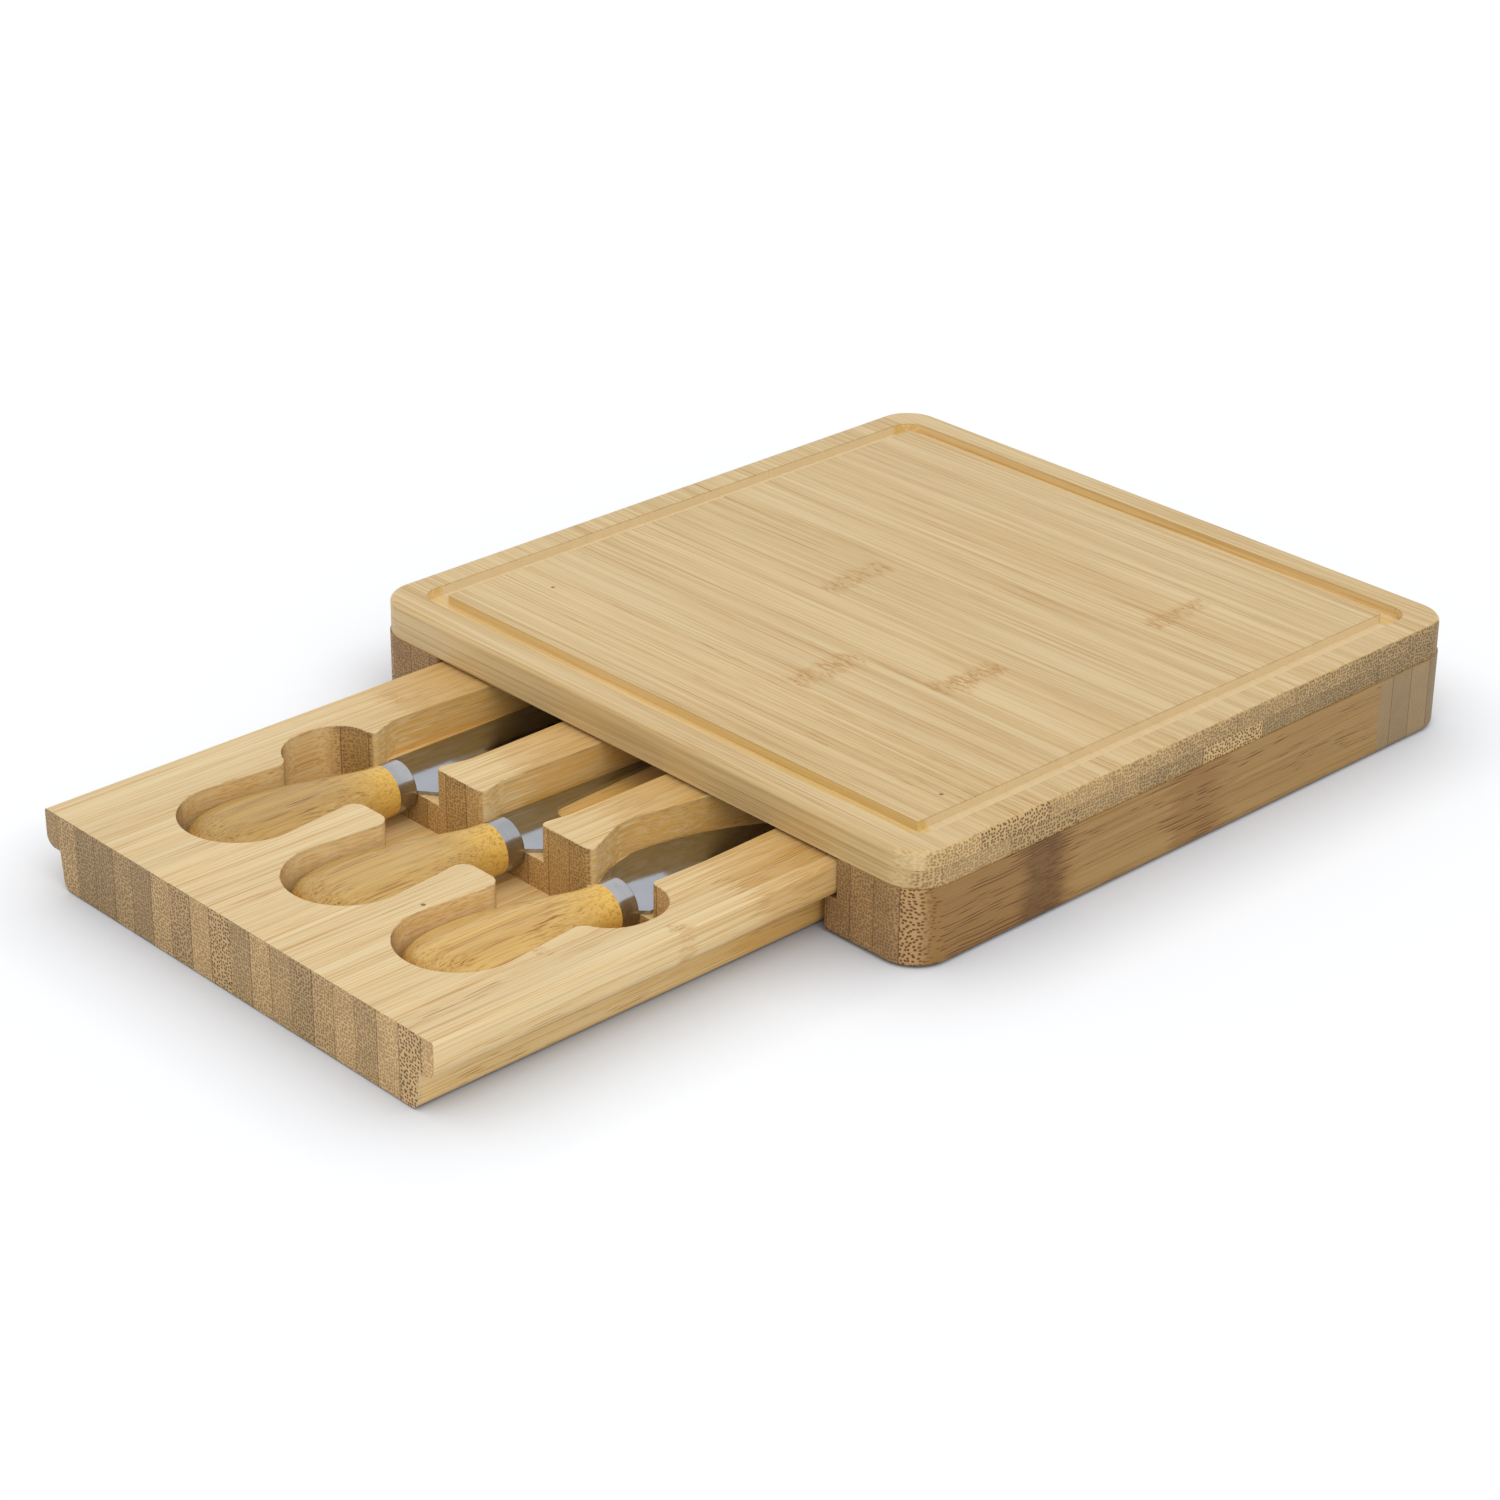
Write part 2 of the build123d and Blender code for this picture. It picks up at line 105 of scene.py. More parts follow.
def length_of(name, description, millimetres):
    """A length that a user can change, with its default in millimetres."""
    return FloatProperty(
        name=name,
        description=description,
        default=millimetres / MM,
        unit="LENGTH",
        precision=5,
    )


class CheeseBoardTopColours(bpy.types.PropertyGroup):
    """Colours of the pale bamboo of the board"""

    pale: colour_of("Pale grain", 218, 192, 143)
    middle: colour_of("Middle grain", 204, 173, 119)
    streak: colour_of("Streaks", 182, 141, 82)
    dash: colour_of("Dashes", 174, 128, 66)
    end: colour_of("End grain", 210, 177, 122)
    vessel: colour_of("Vessels", 104, 66, 30)
    mark: colour_of("Node marks", 182, 133, 60)


class CheeseBoardFrameColours(bpy.types.PropertyGroup):
    """Colours of the brown bamboo of the frame"""

    pale: colour_of("Pale grain", 169, 134, 79)
    middle: colour_of("Middle grain", 158, 122, 67)
    streak: colour_of("Streaks", 140, 99, 46)
    dash: colour_of("Dashes", 92, 54, 16)
    end: colour_of("End grain", 186, 148, 98)
    vessel: colour_of("Vessels", 90, 50, 22)
    mark: colour_of("Node marks", 92, 58, 12)


class CheeseBoardDrawerColours(bpy.types.PropertyGroup):
    """Colours of the cream bamboo of the drawer"""

    pale: colour_of("Pale grain", 230, 206, 158)
    middle: colour_of("Middle grain", 221, 192, 140)
    streak: colour_of("Streaks", 196, 150, 84)
    dash: colour_of("Dashes", 160, 108, 44)
    end: colour_of("End grain", 208, 174, 122)
    vessel: colour_of("Vessels", 96, 60, 30)
    mark: colour_of("Node marks", 186, 136, 64)


class CheeseBoardHandleColours(bpy.types.PropertyGroup):
    """Colours of the golden wood of the handles"""

    pale: colour_of("Pale grain", 218, 181, 108)
    middle: colour_of("Middle grain", 203, 160, 86)
    streak: colour_of("Streaks", 146, 96, 34)
    dash: colour_of("Dashes", 146, 94, 36)
    end: colour_of("End grain", 216, 168, 88)
    vessel: colour_of("Vessels", 138, 88, 34)


class CheeseBoardGrain(bpy.types.PropertyGroup):
    """Sizes of the bamboo's grain"""

    fine_vessel: length_of("Fine vessels", "From one fine vessel to the next", 0.98)
    coarse_vessel: length_of("Coarse vessels", "From one coarse vessel to the next", 1.06)
    vessel_length: length_of("Vessel length", "How far a vessel runs along the wood", 24.0)
    dash_length: length_of("Dash length", "How long a vessel shows along the wood", 11.0)
    fibre_width: length_of("Fibre width", "Width of one streak of the grain", 0.45)
    fibre_length: length_of("Fibre length", "Length of one streak of the grain", 75.0)
    glue_width: length_of("Glue line", "Width of the line where two pieces are glued", 0.22)
    relief: length_of("Relief", "Depth of the grain's relief", 0.14)


class CheeseBoardSettings(bpy.types.PropertyGroup):
    """Colours of the parts, and the levels of the picture"""

    board: PointerProperty(type=CheeseBoardTopColours)
    frame: PointerProperty(type=CheeseBoardFrameColours)
    drawer: PointerProperty(type=CheeseBoardDrawerColours)
    handles: PointerProperty(type=CheeseBoardHandleColours)
    grain: PointerProperty(type=CheeseBoardGrain)
    groove_gold: colour_of("Groove along the grain", 204, 179, 98)
    # Partly painted light: the groove's side runs are paler where their walls are lit
    groove_pale_and_painted_light: colour_of("Groove across the grain", 231, 211, 171)
    drawer_gold: colour_of("Drawer towards the board", 206, 160, 78)
    back_end: colour_of("Ends of the back rail", 142, 128, 99)
    neck_orange: colour_of("Neck of the handles", 244, 198, 92)
    speck_brown: colour_of("Specks", 92, 64, 40)
    ferrule_steel: colour_of("Ferrules", 180, 180, 183)
    ferrule_shade: colour_of("Duller steel of the ferrules", 158, 159, 163)
    blade_steel: colour_of("Blades", 166, 170, 177)
    blade_shade: colour_of("Duller steel of the blades", 158, 162, 168)
    floor_white: colour_of("Floor", 238, 240, 243)
    # Painted shadow: the floor's colour close to the object, mixed in by ambient occlusion
    floor_painted_shadow: colour_of("Floor close to the object", 168, 173, 182)
    sky_level: FloatProperty(
        name="Sky level",
        description="Level of the even light from all round",
        default=0.75,
    )
    sun_level: FloatProperty(
        name="Soft lamp level",
        description="Level of the soft lamp ahead and above",
        default=0.34,
    )
    sun_spread: FloatProperty(
        name="Soft lamp spread",
        description="Apparent width of the soft lamp",
        default=math.radians(60),
        subtype="ANGLE",
    )
    floor_glow: FloatProperty(
        name="Floor glow",
        description="What the picture adds to the floor to keep it white",
        default=0.14,
    )
    lens: FloatProperty(
        name="Lens",
        description="Focal length of the camera in millimetres",
        default=88.97,
    )


class Amount:
    """A number or colour that a shader works out over a surface, for use in sums."""

    def __init__(self, shader, socket):
        self.shader = shader
        self.socket = socket

    def sum(self, operation, *values):
        return self.shader.add("ShaderNodeMath", {"operation": operation}, values)

    def __add__(self, other):
        return self.sum("ADD", self, other)

    __radd__ = __add__

    def __sub__(self, other):
        return self.sum("SUBTRACT", self, other)

    def __rsub__(self, other):
        return self.sum("SUBTRACT", other, self)

    def __mul__(self, other):
        return self.sum("MULTIPLY", self, other)

    __rmul__ = __mul__

    def __truediv__(self, other):
        return self.sum("DIVIDE", self, other)

    def __rtruediv__(self, other):
        return self.sum("DIVIDE", other, self)

    def __abs__(self):
        return self.sum("ABSOLUTE", self)

    def floor(self):
        return self.sum("FLOOR", self)

    def at_least(self, other):
        return self.sum("MAXIMUM", self, other)

    def step(self, low, high):
        """Nought up to low, one from high, and a smooth rise between them."""
        values = {"Value": self, "From Min": low, "From Max": high}
        settings = {"interpolation_type": "SMOOTHSTEP"}
        return self.shader.add("ShaderNodeMapRange", settings, values)

    def between(self, low, high, edge):
        """One from low to high, with an edge of the given width."""
        return self.step(low - edge, low + edge) * (1 - self.step(high - edge, high + edge))


class Shader:
    """The nodes of one material or of the sky, and the kinds of node that they use."""

    def __init__(self, owner):
        owner.use_nodes = True
        self.owner = owner
        self.tree = owner.node_tree
        self.tree.nodes.clear()

    def add(self, kind, settings=None, values=(), output=0):
        """A node: its settings first, then its values or links. Gives an output."""
        node = self.tree.nodes.new(kind)
        for key, setting in (settings or {}).items():
            if key == "stops":
                self.set_stops(node.color_ramp, setting)
            elif key == "ramp_interpolation":
                node.color_ramp.interpolation = setting
            else:
                setattr(node, key, setting)
        live = [socket for socket in node.inputs if socket.enabled]
        for key, value in values.items() if isinstance(values, dict) else enumerate(values):
            socket = live[key] if isinstance(key, int) else node.inputs[key]
            if isinstance(value, Amount):
                self.tree.links.new(value.socket, socket)
            else:
                socket.default_value = value
        outputs = [Amount(self, socket) for socket in node.outputs if socket.enabled]
        if output == "all":
            return outputs
        if isinstance(output, str):
            return Amount(self, node.outputs[output])
        return outputs[output] if outputs else None

    @staticmethod
    def set_stops(ramp, stops):
        """Gives a ramp its stops, from their places and colours."""
        while len(ramp.elements) < len(stops):
            ramp.elements.new(1.0)
        for element, (place, colour) in zip(ramp.elements, stops):
            element.position = place
            element.color = (*colour, 1.0)

    def join(self, x, y, z):
        """One vector or colour from three amounts."""
        return self.add("ShaderNodeCombineXYZ", None, (x, y, z))

    def place(self):
        """Where the surface is, in millimetres."""
        metres = self.add("ShaderNodeTexCoord", output="Object")
        values = {0: metres, "Scale": MM}
        scaled = self.add("ShaderNodeVectorMath", {"operation": "SCALE"}, values)
        return self.add("ShaderNodeSeparateXYZ", None, (scaled,), "all")

    def facing(self):
        """Which way the surface faces."""
        normal = self.add("ShaderNodeTexCoord", output="Normal")
        return self.add("ShaderNodeSeparateXYZ", None, (normal,), "all")

    def noise(self, vector, detail=3.0, roughness=0.5, distortion=0.0):
        """A soft random pattern about nought, mostly within a third either way."""
        values = {
            "Vector": vector,
            "Scale": 1.0,
            "Detail": detail,
            "Roughness": roughness,
            "Distortion": distortion,
        }
        return self.add("ShaderNodeTexNoise", None, values) - 0.5

    def cells(self, across, upward, spacing, randomness):
        """How far the surface is from the middle of its cell, in cells of that spacing."""
        place = self.join(across / spacing, upward / spacing, 0.0)
        values = {"Vector": place, "Scale": 1.0, "Randomness": randomness}
        return self.add("ShaderNodeTexVoronoi", {"voronoi_dimensions": "2D"}, values)

    def mix(self, factor, first, second):
        """Two colours mixed by a factor."""
        values = []
        for value in (factor, first, second):
            plain = isinstance(value, (Amount, float))
            values.append(value if plain else (*value, 1.0))
        settings = {"data_type": "RGBA", "clamp_factor": True}
        return self.add("ShaderNodeMix", settings, values)

    def shade(self, colour, amount):
        """A colour made lighter or darker by an amount."""
        values = {0: colour, "Scale": amount}
        return self.add("ShaderNodeVectorMath", {"operation": "SCALE"}, values)

    def seen(self):
        """One where the camera or a reflection looks, and nought for the light itself."""
        camera = self.add("ShaderNodeLightPath", output="Is Camera Ray")
        return camera.at_least(self.add("ShaderNodeLightPath", output="Is Glossy Ray"))

    def finish(self, values):
        """The surface itself, from the shader's sockets by name."""
        surface = self.add("ShaderNodeBsdfPrincipled", None, values)
        self.add("ShaderNodeOutputMaterial", None, {"Surface": surface})
        return self.owner


def new_shader(name):
    """The nodes of a new material."""
    return Shader(bpy.data.materials.new(name))


class Piece:
    """How one glued piece looks: its tones, and how coarse its vessels are.

    A tone of one leaves the colour as it is. The ramp that holds the looks has only room
    for values up to one, so it holds half of each tone.
    """

    def __init__(self, end_tone, coarse, long_tone=1.0):
        self.looks = (end_tone / 2, coarse, long_tone / 2)


class Mark:
    """A growth node of the bamboo: a short rough band across one or more pieces."""

    # How far its edges wander, as a share of its half length up to a widest one
    wander_share = 2.5
    widest_wander = 5.0

    def __init__(self, along, low, high, half_length, strength=1.0):
        self.along = along
        self.low = low
        self.high = high
        self.half_length = half_length
        self.strength = strength
        self.wander = min(half_length, self.widest_wander) * self.wander_share


class Bamboo:
    """Glued bamboo whose fibres run along X or Y, with end grain where they are cut."""

    # How far the pattern moves from one piece to the next, in millimetres
    piece_shift_across = 37.7
    piece_shift_along = 211.3
    # Width and length of the streaks, in fibre widths and fibre lengths
    band_size = (13, 4)
    fibre_size = (1.8, 1.2)
    hair_size = (0.8, 0.8)
    # The rows of vessels wander this far, over this width, in millimetres
    vessel_wander = 3
    wander_width = 14
    # How unevenly the vessels lie: nought is a square net
    fine_scatter = 0.6
    coarse_scatter = 0.65
    # From the middle of a vessel to its rim, as shares of the space from one to the next
    fine_rim = (0.20, 0.52)
    coarse_rim = (0.22, 0.42)
    dash_rim = (0.12, 0.30)
    dash_width = 0.7
    # A rough place ends raggedly over this many millimetres, and fades out by this share
    rough_wander = 40
    rough_fade = 1.4
    # How strongly each kind of grain shows
    dash_depth = 0.95
    fine_depth = 0.78
    coarse_depth = 0.95
    speck_depth = 0.85
    bump_strength = 0.55
    shine = 0.35

    def __init__(
        self, name, fibres_along, joints, pieces, colours, grain,
        rough_places=(), dot_depth=1.0,
    ):
        self.shader = new_shader(name)
        self.joints = joints
        self.colours = colours
        self.grain = grain
        self.x, self.y, self.z = self.shader.place()
        facing_x, facing_y, _ = self.shader.facing()
        if fibres_along == "X":
            self.along, self.across, facing = self.x, self.y, facing_x
        else:
            self.along, self.across, facing = self.y, self.x, facing_y
        self.end = abs(facing).step(0.35, 0.75)
        self.find_piece(pieces)
        self.lay_grain()
        self.dot_depth = dot_depth
        self.rough_places = rough_places
        self.rough = 0.0
        for place, half_length in rough_places:
            away = abs(self.along - place + self.fibre * self.rough_wander)
            near = 1 - away.step(half_length, half_length * self.rough_fade)
            self.rough = near.at_least(self.rough)
        self.lay_vessels()

    def find_piece(self, pieces):
        """Which of the glued pieces this is, so that each has its own grain and tones."""
        low, high = self.joints[0], self.joints[-1]
        pitch = self.joints[2] - self.joints[1]
        self.count = (self.across - self.joints[1]) / pitch
        self.index = self.count.floor()
        self.pitch = pitch
        self.own_across = self.across + self.index * self.piece_shift_across
        self.own_along = self.along + self.index * self.piece_shift_along
        stops = []
        for joint, piece in zip(self.joints[:-1], pieces):
            stops.append(((joint - low) / (high - low), piece.looks))
        settings = {"ramp_interpolation": "CONSTANT", "stops": stops}
        place = (self.across - low) / (high - low)
        looks = self.shader.add("ShaderNodeValToRGB", settings, (place,))
        tones = self.shader.add("ShaderNodeSeparateColor", None, (looks,), "all")
        self.end_tone = tones[0] * 2
        self.coarse = tones[1]
        self.long_tone = tones[2] * 2

    def stretched(self, width, length):
        """Coordinates for a pattern of the given width, drawn out along the fibres."""
        across = self.own_across / width
        upward = self.z / width
        return self.shader.join(across, upward, self.own_along / length)

    def lay_grain(self):
        """Streaks along the fibres, gathered in bands."""
        places = []
        for width, length in (self.band_size, self.fibre_size, self.hair_size):
            width = self.grain.fibre_width * MM * width
            length = self.grain.fibre_length * MM * length
            places.append(self.stretched(width, length))
        self.band = self.shader.noise(places[0], 2.0)
        self.fibre = self.shader.noise(places[1], 3.0, 0.65)
        self.hair = self.shader.noise(places[2], 2.0, 0.6)

    def lay_vessels(self):
        """Vessels, seen as dots where the fibres are cut and as dashes along them."""
        length = self.grain.vessel_length * MM
        bends = []
        for offset in (0, 50):
            place = self.stretched(self.wander_width, length)
            moved = self.shader.add("ShaderNodeVectorMath", None, (place, (offset, 0, 0)))
            bends.append(self.shader.noise(moved, 1.0) * self.vessel_wander)
        across, upward = self.own_across + bends[0], self.z + bends[1]
        spacing = self.grain.fine_vessel * MM
        fine = self.shader.cells(across, upward, spacing, self.fine_scatter)
        spacing = self.grain.coarse_vessel * MM
        coarse = self.shader.cells(across, upward, spacing, self.coarse_scatter)
        self.fine_dot = 1 - fine.step(*self.fine_rim)
        self.coarse_dot = 1 - coarse.step(*self.coarse_rim)
        dash_length = self.grain.dash_length * MM
        broken = self.shader.noise(self.stretched(self.dash_width, dash_length), 1.0)
        broken = broken + self.rough * 0.10
        self.fine_dash = (1 - fine.step(*self.dash_rim)) * broken.step(-0.06, 0.06)

    def long_grain(self):
        """The colour of the wood along its fibres."""
        shader, colours = self.shader, self.colours
        cluster = self.band.step(-0.08, 0.18)
        pale = (0 - self.band * 0.7 - self.fibre - self.hair * 0.4).step(-0.12, 0.22)
        colour = shader.mix(pale, colours.middle, colours.pale)
        self.line = (self.hair + self.fibre * 0.4).step(0.06, 0.15)
        colour = shader.mix(self.line * (cluster * 0.70 + 0.42), colour, colours.streak)
        gathered = (self.band + self.fibre * 0.5).step(-0.08, 0.16)
        weight = self.coarse.at_least(self.rough * 0.6)
        self.dash = self.fine_dash * gathered.at_least(self.rough) * (weight * 0.8 + 0.1)
        if self.rough_places:
            colour = shader.mix(self.rough * weight * 0.66, colour, colours.streak)
        colour = shader.mix(self.dash * self.dash_depth, colour, colours.dash)
        return shader.shade(colour, self.long_tone)

    def end_grain(self):
        """The colour of the wood where its fibres are cut."""
        shader, colours = self.shader, self.colours
        fine = self.fine_dot * (1 - self.coarse) * self.fine_depth
        coarse = self.coarse_dot * self.coarse * self.coarse_depth
        self.dots = fine.at_least(coarse) * self.dot_depth
        colour = shader.mix(self.dots, colours.end, colours.vessel)
        mottle = self.hair * 0.3 + self.band * 0.4 + 1
        return shader.shade(colour, self.end_tone * mottle)

    def add_marks(self, colour, marks, body):
        """Growth nodes at listed places, broken into short strokes."""
        shader = self.shader
        place = shader.join(self.own_across * 0.5, self.z * 0.5, self.along * 0.05)
        wobble = shader.noise(place, 3.0, 0.7)
        total = None
        for mark in marks:
            away = abs(self.along - mark.along + wobble * mark.wander)
            near = 1 - away.step(mark.half_length * 0.4, mark.half_length * 1.25)
            here = near * self.across.between(mark.low, mark.high, 0.2) * mark.strength
            total = here if total is None else total.at_least(here)
        place = shader.join(
            self.own_across * 1.1, self.z * 1.1, self.along * 0.30 + wobble * 3
        )
        self.stroke = shader.noise(place, 2.0, 0.6, 0.6).step(0.0, 0.06)
        self.mark = total * (1 - self.end)
        depth = self.mark * (self.stroke * (0.8 - body) + body)
        return shader.mix(depth, colour, self.colours.mark)

    def add_specks(self, colour, specks, brown):
        """Small dark specks at given points."""
        for x, y, radius in specks:
            across, along = self.x - x, self.y - y
            away = across * across + along * along
            near = 1 - away.step(radius * radius * 0.2, radius * radius)
            depth = near * (1 - self.end) * self.speck_depth
            colour = self.shader.mix(depth, colour, brown)
        return colour

    def build(self, marks=(), specks=(), brown=None, tint=None, gloss=0.40, mark_body=0.12):
        """The finished material: colour, relief and shine from the parts of the grain."""
        shader = self.shader
        colour = shader.mix(self.end, self.long_grain(), self.end_grain())
        along_height = self.fibre * 0.9 - self.line * 0.3 - self.dash * 0.5
        height = along_height * (1 - self.end) - self.dots * self.end * 0.7
        if marks:
            colour = self.add_marks(colour, marks, mark_body)
            height = height - self.mark * self.stroke * 0.5
        colour = self.add_specks(colour, specks, brown)
        if tint is not None:
            colour = tint(self, colour)
        glue = self.grain.glue_width * MM
        from_joint = self.pitch / 2 - abs(self.count - self.index - 0.5) * self.pitch
        line = 1 - from_joint.step(glue * 0.2, glue)
        colour = shader.mix(line * (self.end * 0.60 + 0.08), colour, self.colours.vessel)
        height = height - line * (self.end * 0.4 + 0.05)
        roughness = self.hair * 0.22 + self.end * 0.16 + self.dash * 0.1 + gloss
        values = {
            "Height": height,
            "Distance": self.grain.relief,
            "Strength": self.bump_strength,
        }
        normal = shader.add("ShaderNodeBump", None, values)
        surface = {
            "Base Color": colour,
            "Roughness": roughness,
            "Normal": normal,
            "Specular IOR Level": self.shine,
        }
        return shader.finish(surface)


def dress(nodes, material):
    """Puts a material on CAD nodes."""
    for node in nodes:
        slots = frame["nodes"][node].data.materials
        slots.clear()
        slots.append(material)


class CHEESEBOARD_OT_board_top(bpy.types.Operator):
    """Gives the upper strips their pale bamboo, with a deeper gold and painted light in the
    groove
    """

    bl_idname = "cheeseboard.board_top"
    bl_label = "Board top"

    # Growth nodes: place along the strip, strip, half length
    marks = ((58, 7, 3.8), (-25.5, 5, 4.8), (47, 4, 5.2), (15, 3, 5.2))
    # Specks: place from the middle of the board, radius
    specks = ((-82, -73, 0.8), (92, -84, 0.8))
    # From the middle of the board: the groove's front and back runs, and its outer rim
    groove_run = (97, 108)
    groove_rim = (108, 109)
    # Depths at which the groove's colour starts and is full
    groove_depth = (0.05, 0.7)
    # How far in from the ends the strips' end grain stops, on the rounded edge
    end_round = (3.0, 1.0)

    def execute(self, context):
        settings = context.scene.cheese_board
        joints = UPPER_JOINTS
        pieces = (
            Piece(0.98, 0.20, 0.99), Piece(0.84, 0.97, 1.01), Piece(0.88, 0.30, 0.98),
            Piece(0.84, 0.20, 1.00), Piece(0.77, 0.15, 0.97), Piece(0.74, 0.25, 0.98),
            Piece(0.72, 0.10, 0.99), Piece(0.62, 0.10, 0.97), Piece(0.58, 0.10, 0.98),
        )
        marks = [
            Mark(along, joints[strip - 1], joints[strip], half_length)
            for along, strip, half_length in self.marks
        ]
        specks = [(x, BOARD_MIDDLE + y, radius) for x, y, radius in self.specks]
        wood = Bamboo("board_bamboo", "X", joints, pieces, settings.board, settings.grain)
        fade, stop = self.end_round
        inner = 1 - abs(wood.x).step(BOARD_HALF - fade, BOARD_HALF - stop)
        wood.end = wood.end * (1 - inner)

        def gild_and_paint_light(wood, colour):
            """The groove is deeper gold along the grain, and paler across it, partly as
            painted light on its lit walls; its front and back runs are painted lighter as
            well.
            """
            from_middle = abs(wood.y - BOARD_MIDDLE)
            inside = inner * (1 - from_middle.step(*self.groove_rim))
            depth = (BOARD_TOP - wood.z).step(*self.groove_depth) * inside
            run = from_middle.between(*self.groove_run, 0.8)
            streak = (wood.fibre + wood.hair * 0.6 + wood.band).step(-0.16, 0.20)
            behind = (wood.y - BOARD_MIDDLE).step(0.0, 1.0)
            gold = depth * run * (streak * 0.74 + 0.06) * (1 - behind * 0.35)
            colour = wood.shader.mix(gold, colour, settings.groove_gold)
            # The pale colour on the groove's side runs is partly painted light on their lit
            # walls
            side = depth * (1 - run)
            colour = wood.shader.mix(side * 0.80, colour, settings.groove_pale_and_painted_light)
            # Painted light: the front and back runs are made lighter as they deepen, where
            # their walls get less light
            return wood.shader.shade(colour, depth * run * 0.18 + 1)

        material = wood.build(marks, specks, settings.speck_brown, gild_and_paint_light)
        dress(UPPER_STRIPS, material)
        return {"FINISHED"}


class CHEESEBOARD_OT_underlayer(bpy.types.Operator):
    """Gives the lower strips their bamboo and end grain"""

    bl_idname = "cheeseboard.underlayer"
    bl_label = "Underlayer"

    def execute(self, context):
        settings = context.scene.cheese_board
        pieces = (
            Piece(0.90, 0.20, 0.96), Piece(0.80, 0.35, 0.95), Piece(0.72, 0.85, 0.93),
            Piece(0.72, 0.20, 0.95), Piece(0.63, 0.15, 0.95), Piece(0.86, 0.99, 0.92),
            Piece(0.57, 0.25, 0.95), Piece(0.52, 0.15, 0.94), Piece(0.53, 0.10, 0.93),
            Piece(0.52, 0.15, 0.93),
        )
        wood = Bamboo(
            "underlayer_bamboo", "X", LOWER_JOINTS, pieces, settings.board, settings.grain
        )

        def seam(wood, colour):
            """A thin dark line just under the seam between the two plies."""
            line = (wood.z - PLY_SEAM + 0.35).step(0.0, 0.3)
            return wood.shader.mix(line * 0.35, colour, settings.board.vessel)

        dress(LOWER_STRIPS, wood.build(tint=seam))
        return {"FINISHED"}


class CHEESEBOARD_OT_frame(bpy.types.Operator):
    """Gives the three rails their darker bamboo"""

    bl_idname = "cheeseboard.frame"
    bl_label = "Frame"

    node_half_length = 9.5
    node_rough_half = 9

    def execute(self, context):
        settings = context.scene.cheese_board
        side = (Piece(0.80, 0.30), Piece(0.90, 0.25), Piece(0.80, 0.60), Piece(1.00, 0.95))
        back = (
            Piece(0.76, 0.40, 0.98), Piece(0.68, 0.40), Piece(0.80, 0.40, 1.02),
            Piece(0.54, 0.50),
        )
        right_rough = ((BOARD_MIDDLE - 97, 18), (BOARD_MIDDLE - 4, 9))
        left_rough = ((BOARD_MIDDLE + 60, 10), (BOARD_MIDDLE - 30, 11))
        back_rough = ((-60, 10), (35, 12))
        self.add_rail(settings, RIGHT_RAIL, 0, side, BOARD_MIDDLE - 67, 3, right_rough)
        self.add_rail(settings, LEFT_RAIL, 0, side[::-1], BOARD_MIDDLE + 38, 0, left_rough)

        def grey_ends(wood, colour):
            """The back rail's ends are a greyer tan."""
            return wood.shader.mix(wood.end * 0.5, colour, settings.back_end)

        self.add_rail(settings, BACK_RAIL, 1, back, -42, 3, back_rough, 0.5, grey_ends)
        return {"FINISHED"}

    def add_rail(
        self, settings, nodes, axis, pieces, node_place, outer, rough_places,
        dot_depth=1.0, tint=None,
    ):
        """One rail, with a growth node and rougher places on its outer lamella."""
        joints = joints_of(nodes, axis)
        low, high = joints[outer] - 1, joints[outer + 1] + 1
        mark = Mark(node_place, low, high, self.node_half_length)
        name = nodes[0].replace("lamella_1", "bamboo")
        fibres_along = "YX"[axis]
        colours, grain = settings.frame, settings.grain
        rough_places = (*rough_places, (node_place, self.node_rough_half))
        wood = Bamboo(
            name, fibres_along, joints, pieces, colours, grain, rough_places, dot_depth
        )
        dress(nodes, wood.build((mark,), tint=tint, gloss=0.44, mark_body=0.58))


